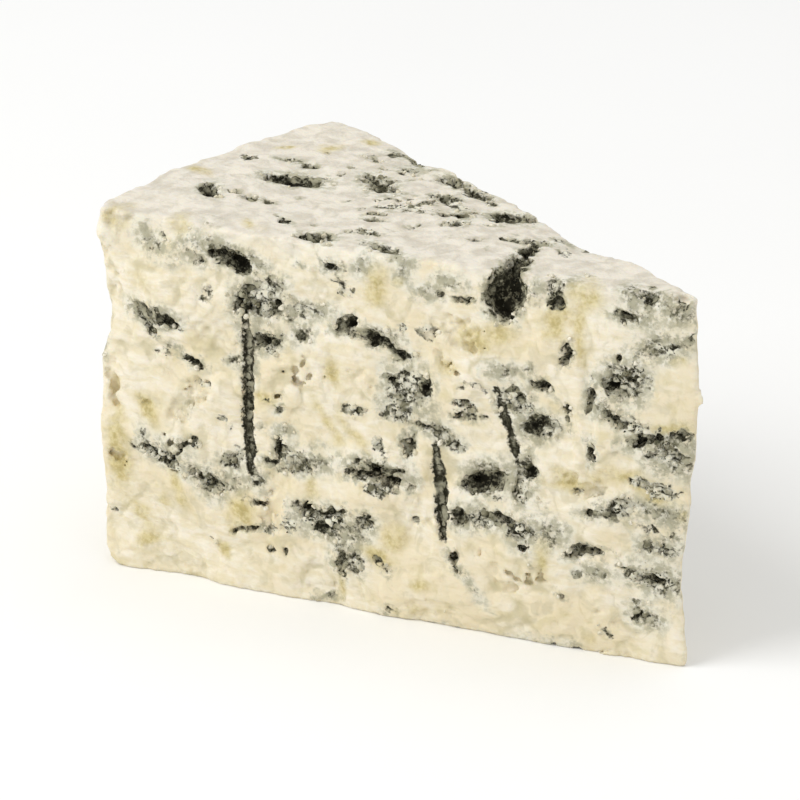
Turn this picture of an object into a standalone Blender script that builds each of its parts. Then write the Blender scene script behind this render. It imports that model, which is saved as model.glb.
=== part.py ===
"""A wedge of blue cheese, cut from the upper half of a 200 mm wheel.

The wedge is one solid. It stands on its flat base, with the rind at -X and the tip at +X.
The cut face on the -Y side is called front, and the one on the +Y side back. The origin is
the middle of the base's bounding box. All sizes are in metres.
"""

import math
import random

import bmesh
import bpy
from mathutils import Matrix, Vector, noise

MM = 0.001

# Driving sizes
WHEEL_RADIUS = 100.0 * MM
HEIGHT = 60.0 * MM
WEDGE_ANGLE = math.radians(32.5)
TIP_BLUNTING = 1.2 * MM
BASE_ROUNDING = 3.6 * MM
TOP_ROUNDING = 1.0 * MM
CORNER_ROUNDING = 1.8 * MM

# Unevenness of the knife's cuts, of the rind and of the tip
FRONT, BACK = -1, 1
CUT_BOW = {FRONT: 1.8 * MM, BACK: 0.7 * MM}
CUT_UNEVENNESS = 0.6 * MM
RIND_UNEVENNESS = 0.5 * MM
UNEVENNESS_LENGTH = 17.0 * MM
NOISE_FALLOFF = 0.8
NOISE_LACUNARITY = 2.1
NOISE_OCTAVES = 3
TIP_WAVE = 1.9 * MM
TIP_WAVE_LENGTH = 50.0 * MM
TIP_WAVE_FOOT = 26.0 * MM
TIP_WAVE_FADE = 8.0 * MM
TIP_WAVE_DEPTH = 24.0 * MM

# Facets
CUT_STATIONS = 30
RIND_STATIONS = 18
LEVELS = 16
BASE_LEVELS = 3
TOP_LEVELS = 2

# Needle channels left by piercing the wheel, which narrow a little towards their foot
NEEDLE_RADIUS = 1.0 * MM
NEEDLE_FOOT_RADIUS = 0.8 * MM
NEEDLE_SIDES = 8

# The hollows are ragged ellipsoids
RAGGEDNESS = 0.22
RAGGED_SCALE = 1.7
RAGGED_SHIFT = 300.0

HALF_ANGLE = WEDGE_ANGLE / 2
CHEESE_COLOUR = (0.86, 0.80, 0.64, 1.0)
SEED = 12

# Hollows in the front cut, in millimetres and degrees:
# distance from the tip, height, half length, half width, depth, tilt
FRONT_HOLLOWS = [
    (31.0, 54.5, 4.2, 3.2, 4.0, 75),
    (76.0, 54.8, 3.6, 2.0, 3.0, -25),
    (71.5, 49.2, 3.7, 2.2, 1.4, 20),
    (57.5, 45.5, 2.2, 1.7, 2.4, 10),
    (51.0, 44.7, 3.8, 1.4, 2.0, -8),
    (90.3, 42.6, 4.6, 1.8, 1.7, 0),
    (47.0, 37.4, 4.4, 3.4, 2.4, 60),
    (35.0, 25.0, 4.4, 2.3, 3.0, 28),
    (25.7, 35.2, 2.9, 1.9, 2.0, 0),
    (52.0, 23.0, 5.0, 1.7, 1.7, -5),
    (68.6, 24.0, 3.2, 1.1, 1.6, 88),
    (62.3, 14.4, 5.2, 2.2, 1.6, -4),
    (57.3, 8.2, 3.0, 1.5, 1.7, 70),
    (81.5, 16.8, 2.8, 1.9, 1.3, -30),
    (31.5, 19.4, 4.8, 1.7, 1.5, -10),
    (11.5, 46.0, 3.6, 2.1, 1.4, 45),
    (7.5, 36.6, 5.0, 1.5, 1.2, -6),
    (17.3, 16.0, 3.8, 1.1, 1.3, 8),
]

# Pits in the top: x from the tip, y, half length, half width, depth, turn about Z
TOP_PITS = [
    (-79.8, 0.8, 4.6, 2.5, 3.2, 20),
    (-69.2, 8.2, 4.7, 2.4, 2.0, -30),
    (-56.7, 9.9, 2.5, 1.4, 2.6, 8),
    (-60.5, 14.4, 2.8, 1.4, 2.4, -10),
    (-43.5, 9.0, 4.1, 2.2, 2.2, 10),
    (-49.6, 4.8, 2.4, 1.8, 2.6, 30),
    (-86.0, -12.0, 3.7, 1.5, 2.2, -40),
    (-31.0, -3.0, 6.4, 1.7, 2.2, -62),
]

# Needle channels met by a cut: distance from the tip at their top and foot, then both heights
FRONT_CHANNELS = [
    (74.3, 74.1, 45.7, 19.0),
    (41.9, 40.9, 28.2, 14.6),
    (31.8, 27.9, 41.0, 25.0),
    (58.6, 58.8, 10.5, 1.8),
]
BACK_CHANNELS = [
    (81.0, 80.2, 52.0, 22.0),
    (62.5, 63.4, 33.0, 12.0),
    (43.0, 41.6, 47.0, 30.0),
    (24.5, 24.9, 36.0, 15.0),
]
BACK_HOLLOWS = 15
BACK_MARGIN = 9.0 * MM


def clear_scene():
    for obj in list(bpy.data.objects):
        bpy.data.objects.remove(obj, do_unlink=True)


def tip_point():
    """The wheel's axis, where the two cuts would meet."""
    return Vector((WHEEL_RADIUS / 2, 0.0, 0.0))


def cut_direction(side):
    """Unit vector from the tip along a cut; side is -1 for the front and +1 for the back."""
    return Vector((-math.cos(HALF_ANGLE), side * math.sin(HALF_ANGLE), 0.0))


def cut_normal(side):
    """Unit vector straight out of a cut."""
    return Vector((math.sin(HALF_ANGLE), side * math.cos(HALF_ANGLE), 0.0))


def rounding_inset(level):
    """How far the rind draws in at a height, towards its rounded upper and lower edges."""
    inset = 0.0
    edges = ((level, BASE_ROUNDING), (HEIGHT - level, TOP_ROUNDING))
    for distance, radius in edges:
        if distance < radius:
            inset += radius - math.sqrt(radius**2 - (radius - distance) ** 2)
    return inset


def unevenness(point, height, seed):
    """Smooth noise from -1 to 1."""
    place = Vector((point.x, point.y, height)) / UNEVENNESS_LENGTH
    place.x += seed
    return noise.fractal(place, NOISE_FALLOFF, NOISE_LACUNARITY, NOISE_OCTAVES)


def tip_reach(height):
    """How far the worn tip stands out (or in) along X at a height."""
    wave = math.sin(2 * math.pi * (height - TIP_WAVE_FOOT) / TIP_WAVE_LENGTH)
    fade = min(1.0, height / TIP_WAVE_FADE, (HEIGHT - height) / TIP_WAVE_FADE)
    return TIP_WAVE * wave * fade


def cut_point(side, distance, height):
    """A point on a cut, which swells between the tip and the rind and is wavy at the tip."""
    point = tip_point() + cut_direction(side) * distance
    fade = math.sin(math.pi * distance / WHEEL_RADIUS) ** 0.5
    swell = CUT_BOW[side] + CUT_UNEVENNESS * unevenness(point, height, 5.0 * side)
    point += cut_normal(side) * swell * fade
    point.x += tip_reach(height) * max(0.0, 1.0 - distance / TIP_WAVE_DEPTH) ** 2
    point.z = height
    return point


def cut_station(side, fraction, height):
    """A point of the outline on a cut, from the tip (0) to the rind (1)."""
    end = WHEEL_RADIUS - rounding_inset(height) - CORNER_ROUNDING
    distance = TIP_BLUNTING + fraction * (end - TIP_BLUNTING)
    return cut_point(side, distance, height)


def rind_station(fraction, height):
    """A point on the rind, from the front cut (0) to the back cut (1)."""
    reach = WHEEL_RADIUS - rounding_inset(height)
    corner = CORNER_ROUNDING / reach
    angle = (2 * fraction - 1) * (HALF_ANGLE - corner)
    outward = Vector((-math.cos(angle), math.sin(angle), 0.0))
    fade = math.sin(math.pi * fraction)
    swell = RIND_UNEVENNESS * fade * unevenness(outward * reach, height, 31.0)
    return tip_point() + outward * (reach + swell)


def outline(height):
    """The wedge's outline at one height: front cut, rind, back cut, seen as a closed ring."""
    steps = [i / CUT_STATIONS for i in range(CUT_STATIONS + 1)]
    front = [cut_station(FRONT, step, height) for step in steps]
    rind = [rind_station(i / RIND_STATIONS, height) for i in range(RIND_STATIONS + 1)]
    back = [cut_station(BACK, step, height) for step in reversed(steps)]
    return front + rind + back


def level_heights():
    """Heights of the outlines, closer together where the lower and upper edges are round."""
    top = HEIGHT - TOP_ROUNDING
    low = [BASE_ROUNDING * (i / BASE_LEVELS) ** 2 for i in range(BASE_LEVELS)]
    middle = [BASE_ROUNDING + (top - BASE_ROUNDING) * i / LEVELS for i in range(LEVELS)]
    high = [HEIGHT - TOP_ROUNDING * (i / TOP_LEVELS) ** 2 for i in range(TOP_LEVELS, -1, -1)]
    return low + middle + high


def block_mesh():
    """The uncut wedge as a stack of outlines with flat ends."""
    bm = bmesh.new()
    rings = []
    for height in level_heights():
        rings.append([bm.verts.new((p.x, p.y, height)) for p in outline(height)])
    count = len(rings[0])
    for lower, upper in zip(rings, rings[1:]):
        for i in range(count):
            j = (i + 1) % count
            bm.faces.new((lower[i], upper[i], upper[j], lower[j]))
    bm.faces.new(rings[0])
    bm.faces.new(list(reversed(rings[-1])))
    bmesh.ops.recalc_face_normals(bm, faces=bm.faces)
    bmesh.ops.triangulate(bm, faces=bm.faces)
    mesh = bpy.data.meshes.new("cheese_wedge")
    bm.to_mesh(mesh)
    bm.free()
    return mesh


def face_frame(along, up, outward, place):
    """A matrix whose X runs along a face, Y up it and Z out of it."""
    turn = Matrix((along, up, outward)).transposed().to_4x4()
    return Matrix.Translation(place) @ turn


def cut_frame(side, distance, height):
    """The frame of a place on a cut. X runs to the right for someone who faces the cut."""
    place = cut_point(side, distance, height)
    along = cut_direction(side) * side
    return face_frame(along, Vector((0, 0, 1)), cut_normal(side), place)


def top_frame(x, y):
    place = tip_point() + Vector((x, y, HEIGHT))
    return face_frame(Vector((1, 0, 0)), Vector((0, 1, 0)), Vector((0, 0, 1)), place)


def add_cutter(name, bm, frame, cutters):
    """Turns a bmesh into a hidden cutting body, placed by its frame."""
    mesh = bpy.data.meshes.new(name)
    bm.to_mesh(mesh)
    bm.free()
    obj = bpy.data.objects.new(name, mesh)
    obj.matrix_world = frame
    obj.hide_render = True
    obj.display_type = "WIRE"
    cutters.objects.link(obj)


def add_hollow(name, frame, sizes, tilt, cutters):
    """A ragged ellipsoid that opens in a face; sizes are half length, half width and depth."""
    bm = bmesh.new()
    bmesh.ops.create_icosphere(bm, subdivisions=2, radius=1.0)
    shift = frame.translation * RAGGED_SHIFT
    for vert in bm.verts:
        swell = 1.0 + RAGGEDNESS * noise.noise(vert.co * RAGGED_SCALE + shift)
        vert.co = Vector([part * size * swell for part, size in zip(vert.co, sizes)])
    spin = Matrix.Rotation(math.radians(tilt), 4, "Z")
    add_cutter(name, bm, frame @ spin, cutters)


def add_channel(name, side, channel, cutters):
    """A needle channel that a cut has laid open along its length."""
    top_distance, foot_distance, top_height, foot_height = [value * MM for value in channel]
    top = cut_point(side, top_distance, top_height)
    foot = cut_point(side, foot_distance, foot_height)
    run = top - foot
    bm = bmesh.new()
    bmesh.ops.create_cone(
        bm,
        cap_ends=True,
        segments=NEEDLE_SIDES,
        radius1=NEEDLE_FOOT_RADIUS,
        radius2=NEEDLE_RADIUS,
        depth=run.length,
    )
    spin = run.to_track_quat("Z", "Y").to_matrix().to_4x4()
    add_cutter(name, bm, Matrix.Translation((top + foot) / 2) @ spin, cutters)


def add_front_cutters(cutters):
    for i, (distance, height, length, width, depth, tilt) in enumerate(FRONT_HOLLOWS):
        frame = cut_frame(FRONT, distance * MM, height * MM)
        sizes = (length * MM, width * MM, depth * MM)
        add_hollow(f"front_hollow_{i}", frame, sizes, tilt, cutters)
    for i, channel in enumerate(FRONT_CHANNELS):
        add_channel(f"front_channel_{i}", FRONT, channel, cutters)


def add_back_cutters(cutters):
    """The back cut has hollows of the same kinds, spread evenly with some scatter."""
    rng = random.Random(SEED)
    usable_length = WHEEL_RADIUS - 2 * BACK_MARGIN
    usable_height = HEIGHT - 2 * BACK_MARGIN
    golden = (math.sqrt(5) - 1) / 2
    for i in range(BACK_HOLLOWS):
        distance = BACK_MARGIN + usable_length * (i + 0.5) / BACK_HOLLOWS
        height = BACK_MARGIN + usable_height * ((i * golden + 0.3) % 1.0)
        length = rng.uniform(2.6, 5.0) * MM
        width = length * rng.uniform(0.35, 0.6)
        sizes = (length, width, rng.uniform(1.3, 3.0) * MM)
        frame = cut_frame(BACK, distance, height)
        add_hollow(f"back_hollow_{i}", frame, sizes, rng.uniform(-35, 35), cutters)
    for i, channel in enumerate(BACK_CHANNELS):
        add_channel(f"back_channel_{i}", BACK, channel, cutters)


def add_top_cutters(cutters):
    for i, (x, y, length, width, depth, turn) in enumerate(TOP_PITS):
        sizes = (length * MM, width * MM, depth * MM)
        add_hollow(f"top_pit_{i}", top_frame(x * MM, y * MM), sizes, turn, cutters)


def cheese_material():
    material = bpy.data.materials.new("blue_cheese")
    material.use_nodes = True
    shader = material.node_tree.nodes["Principled BSDF"]
    shader.inputs["Base Color"].default_value = CHEESE_COLOUR
    shader.inputs["Roughness"].default_value = 0.5
    shader.inputs["Metallic"].default_value = 0.0
    return material


def centre_on_origin(mesh):
    """Moves the mesh's bounding box over the origin and returns the shift."""
    xs = [vert.co.x for vert in mesh.vertices]
    ys = [vert.co.y for vert in mesh.vertices]
    shift = Vector((-(min(xs) + max(xs)) / 2, -(min(ys) + max(ys)) / 2, 0.0))
    mesh.transform(Matrix.Translation(shift))
    return shift


def build():
    clear_scene()
    mesh = block_mesh()
    shift = centre_on_origin(mesh)
    mesh.materials.append(cheese_material())
    wedge = bpy.data.objects.new("cheese_wedge", mesh)
    bpy.context.scene.collection.objects.link(wedge)

    cutters = bpy.data.collections.new("cutters")
    bpy.context.scene.collection.children.link(cutters)
    add_front_cutters(cutters)
    add_back_cutters(cutters)
    add_top_cutters(cutters)
    for cutter in cutters.objects:
        cutter.location = cutter.location + shift

    boolean = wedge.modifiers.new("hollows", "BOOLEAN")
    boolean.operation = "DIFFERENCE"
    boolean.operand_type = "COLLECTION"
    boolean.collection = cutters
    boolean.solver = "EXACT"


build()
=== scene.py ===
"""The looks of a wedge of blue cheese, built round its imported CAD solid.

The cheese is sculpted as a distance field on a fine grid: an uneven wedge, less its hollows,
needle channels and chipped edges. The field is meshed once, thinned, and painted through
attributes that a node material reads. Lengths in the field are millimetres; the scene is in
metres.
"""

import math
from collections import namedtuple

import bmesh
import bpy
import numpy as np
import openvdb
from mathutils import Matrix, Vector


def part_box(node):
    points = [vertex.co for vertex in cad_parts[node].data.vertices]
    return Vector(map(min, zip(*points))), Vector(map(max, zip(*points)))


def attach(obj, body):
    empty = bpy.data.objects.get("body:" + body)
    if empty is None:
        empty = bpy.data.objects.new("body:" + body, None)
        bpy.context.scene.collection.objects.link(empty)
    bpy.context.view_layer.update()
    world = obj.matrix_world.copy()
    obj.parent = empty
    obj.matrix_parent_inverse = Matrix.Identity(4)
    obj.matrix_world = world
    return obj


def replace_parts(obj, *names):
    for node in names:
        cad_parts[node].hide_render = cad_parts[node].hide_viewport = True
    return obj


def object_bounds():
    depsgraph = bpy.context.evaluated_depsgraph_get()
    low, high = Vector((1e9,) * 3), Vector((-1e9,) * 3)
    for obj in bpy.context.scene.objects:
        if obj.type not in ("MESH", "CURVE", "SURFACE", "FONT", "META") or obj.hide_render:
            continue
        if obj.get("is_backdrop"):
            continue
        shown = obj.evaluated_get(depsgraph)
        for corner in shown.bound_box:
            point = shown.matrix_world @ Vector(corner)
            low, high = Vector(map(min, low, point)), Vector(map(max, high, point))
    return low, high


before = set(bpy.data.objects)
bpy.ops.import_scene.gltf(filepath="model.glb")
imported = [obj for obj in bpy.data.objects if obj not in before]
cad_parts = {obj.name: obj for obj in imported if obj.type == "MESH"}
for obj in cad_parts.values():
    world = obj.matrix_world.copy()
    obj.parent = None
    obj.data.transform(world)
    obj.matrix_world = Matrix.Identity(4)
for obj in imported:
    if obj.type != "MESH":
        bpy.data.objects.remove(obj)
CAD_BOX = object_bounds()

MM = 0.001

# ---------------------------------------------------------------- the wedge, from the frame
LOW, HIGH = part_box("cheese_wedge")
HEIGHT = HIGH.z / MM
TIP_OVERHANG = 0.6
TIP_X = HIGH.x / MM - TIP_OVERHANG
WHEEL_RADIUS = 100.0
HALF_ANGLE = math.radians(32.5) / 2
CUT_BOW = {"front": 1.8, "back": 1.9}
BASE_ROUNDING = 3.6
CUT_EDGE = 0.9
RIND_EDGE = 2.0
TOP_EDGE = 1.1
TOP_RIND_EDGE = 1.8
FOOT_EDGE = 0.3
# The worn tip stands out round one height and is worn in round another: height, reach, size
TIP_WAVES = ((40.0, 11.0, 0.5), (16.0, 8.0, -1.8))
TIP_WAVE_DEPTH = 24.0
TIP_CALM = (1.0, 15.0)
BACK_CALM = 0.65

# ---------------------------------------------------------------- the grid
STEP = 0.34
MARGIN = 2.0
REACH_IN = 5.0
REACH_OUT = 1.2
SURFACE_BUDGET = 196000
SEED = 20
SPLINE_GAIN = 3.0
FAR = 3.0

# Crumbs: the irregular pieces that the curd breaks into
CRUMB_SIZE = (1.3, 1.3, 1.1)
CRUMB_SNAP = 0.6
CRUMB_STEP = 0.5
CRUMB_REACH = 1.3

CHANNEL_TAPER = 4.0
CHANNEL_SHIFT = 0.3

# Paint: distances in millimetres are stored as 0 to 1, with 0.5 on a mark's outline
PAINT_RANGE = 1.5
PAINT_DEPTH_SCALE = 0.2

# Each face's chart in the UV map: left, middle or foot, and scale, in millimetres
CHART_SIDE = 186.0
CHART_PLACES = {
    "front": (102.0, 2.0, 1.0),
    "back": (2.0, 66.0, 1.0),
    "top": (102.0, 157.0, 1.0),
    "base": (184.0, 157.0, 0.78),
    "rind": (136.0, 2.0, 1.0),
}

# ---------------------------------------------------------------- lights and camera
VIEW_AZIMUTH = math.radians(40.54)
VIEW_ELEVATION = math.radians(22.0)
VIEW_DISTANCE = 0.7068
LENS = 205.3
SENSOR = 36.0
# From the middle of the view to the foot of the tip: right, away and up
TIP_IN_VIEW = (0.0439, -0.0286, -0.0323)
SKY = 0.60
Light = namedtuple("Light", "name place size power")
LIGHTS = (
    Light("key", (-0.45, -0.75, 0.90), 0.75, 7.6),
    Light("top", (0.1, 0.3, 1.1), 0.8, 2.0),
    Light("fill", (0.9, -0.5, 0.4), 0.7, 0.6),
)


# ---------------------------------------------------------------- grids, noise and crumbs
class Grid:
    """A regular grid of points round the wedge, in millimetres."""

    def __init__(self, low, high, step):
        self.low = np.array(low, float)
        self.step = step
        self.shape = [int(math.ceil((b - a) / step)) + 1 for a, b in zip(low, high)]
        self.axes = [a + step * np.arange(n) for a, n in zip(low, self.shape)]

    def noise(self, wavelength, seed):
        """Smooth noise with a standard deviation of 1, from a random lattice and cubic splines."""
        taps = [spline_taps(axis, wavelength) for axis in self.axes]
        rng = np.random.default_rng(seed)
        size = [cell[-1] + 4 for cell, weights in taps]
        values = rng.standard_normal(size).astype(np.float32) * SPLINE_GAIN
        for axis in (2, 1, 0):
            cell, weights = taps[axis]
            shape = [1, 1, 1]
            shape[axis] = len(cell)
            values = sum(values.take(cell + k, axis) * weights[k].reshape(shape) for k in range(4))
        return values

    def sample(self, volume, points):
        """Reads a volume at any points, with straight lines between its grid points."""
        place = (points - self.low) / self.step
        place = np.clip(place, 0, np.array(self.shape) - 1.001)
        cell = place.astype(np.int32)
        part = (place - cell).astype(np.float32)
        flat = volume.ravel()
        ny, nz = self.shape[1], self.shape[2]
        start = (cell[:, 0] * ny + cell[:, 1]) * nz + cell[:, 2]
        total = np.zeros(len(points), np.float32)
        for i, j, k in np.ndindex(2, 2, 2):
            weight = np.abs(part - (1 - np.array([i, j, k], np.float32))).prod(1)
            total += weight * flat[start + (i * ny + j) * nz + k]
        return total


def spline_taps(positions, wavelength):
    """For each position, its lattice cell and the weights of four lattice points from there."""
    place = (positions - positions[0]) / wavelength
    cell = np.floor(place).astype(int)
    f = place - cell
    weights = (
        (1 - f) ** 3 / 6,
        (3 * f**3 - 6 * f**2 + 4) / 6,
        (-3 * f**3 + 3 * f**2 + 3 * f + 1) / 6,
        f**3 / 6,
    )
    return cell, [weight.astype(np.float32) for weight in weights]


Crumb = namedtuple("Crumb", "nearest second way shade")


class Crumbs:
    """Irregular cells that fill the cheese, each with a shade from 0 to 1 of its own."""

    def __init__(self, low, high, size, seed):
        self.size = np.array(size, np.float32)
        self.low = np.array(low, np.float32) - 3 * self.size
        span = (np.array(high) - self.low) / self.size
        self.shape = [int(n) + 5 for n in span]
        rng = np.random.default_rng(seed)
        self.table = rng.random((math.prod(self.shape), 4), np.float32)

    def look(self, points):
        """The crumb round each point: distances to its centre and the next, way in, shade."""
        place = ((points - self.low) / self.size).astype(np.float32)
        home = place.astype(np.int32)
        ny, nz = self.shape[1], self.shape[2]
        start = (home[:, 0] * ny + home[:, 1]) * nz + home[:, 2]
        nearest = np.full(len(points), 9.0, np.float32)
        second = nearest.copy()
        way = np.zeros_like(place)
        shade = np.zeros_like(nearest)
        for i, j, k in np.ndindex(3, 3, 3):
            crumb = self.table[start + ((i - 1) * ny + j - 1) * nz + k - 1]
            gap = home + np.array([i - 1, j - 1, k - 1], np.float32) + crumb[:, :3] - place
            distance = np.sqrt((gap**2).sum(1))
            closer = distance < nearest
            second = np.where(closer, nearest, np.minimum(second, distance))
            nearest = np.where(closer, distance, nearest)
            way[closer] = gap[closer]
            shade = np.where(closer, crumb[:, 3], shade)
        return Crumb(nearest, second, way * self.size, shade)


def smoothstep(low, high, value):
    t = np.clip((value - low) / (high - low), 0, 1)
    return t * t * (3 - 2 * t)


def smooth_max(a, b, width):
    """The larger of two distances, with the corner between them rounded."""
    blend = np.maximum(width - np.abs(a - b), 0) / width
    return np.maximum(a, b) + blend * blend * width / 4


# ---------------------------------------------------------------- faces of the wedge
Face = namedtuple("Face", "name right up outward")
SIN, COS = math.sin(HALF_ANGLE), math.cos(HALF_ANGLE)
FRONT = Face("front", (COS, SIN, 0), (0, 0, 1), (SIN, -COS, 0))
BACK = Face("back", (-COS, SIN, 0), (0, 0, 1), (SIN, COS, 0))
TOP = Face("top", (1, 0, 0), (0, 1, 0), (0, 0, 1))
BASE = Face("base", (1, 0, 0), (0, -1, 0), (0, 0, -1))
RIND = Face("rind", None, None, None)
FACES = (FRONT, BACK, TOP, BASE, RIND)


def bow(distance, side):
    """How far a cut swells out at a distance from the tip."""
    fraction = np.clip(distance / WHEEL_RADIUS, 0, 1)
    return CUT_BOW[side] * np.sqrt(np.clip(np.sin(np.pi * fraction), 0, 1))


def tip_lean(distance, height):
    """How far the worn tip stands out along X."""
    depth = np.clip(1 - distance / TIP_WAVE_DEPTH, 0, 1)
    lean = sum(size * np.exp(-(((height - middle) / reach) ** 2)) for middle, reach, size in TIP_WAVES)
    return lean * depth**2


def local_place(face, points):
    """Points as seen by someone who faces a cut, the top or the base: right, up, depth.

    On a cut, right is minus or plus the distance from the tip. Depth is below the swelling
    surface. On the rind, right runs round the wheel and depth is below its curved side.
    """
    offset = points - np.array([TIP_X, 0, 0], np.float32)
    if face.name in CUT_BOW:
        reach = np.hypot(offset[:, 0], offset[:, 1])
        offset[:, 0] -= tip_lean(reach, points[:, 2])
        right = offset @ np.array(face.right, np.float32)
        depth = bow(np.abs(right), face.name) - offset @ np.array(face.outward, np.float32)
        return np.stack([right, points[:, 2], depth], 1)
    if face.name == "rind":
        reach = np.hypot(offset[:, 0], offset[:, 1])
        around = np.arctan2(-offset[:, 1], -offset[:, 0]) * WHEEL_RADIUS
        return np.stack([around, points[:, 2], WHEEL_RADIUS - reach], 1)
    up = offset @ np.array(face.up, np.float32)
    if face.name == "top":
        return np.stack([offset[:, 0], up, HEIGHT - points[:, 2]], 1)
    return np.stack([offset[:, 0], up, points[:, 2]], 1)


# ---------------------------------------------------------------- marks in the cheese
# Each mark is placed on a face: right and up, half length, half width, depth, tilt.
# On the front, right is minus the distance from the tip. On the top, x is from the tip.
Mark = namedtuple("Mark", "right up length width depth tilt")


def marks(*rows):
    return [Mark(*row) for row in rows]


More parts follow.
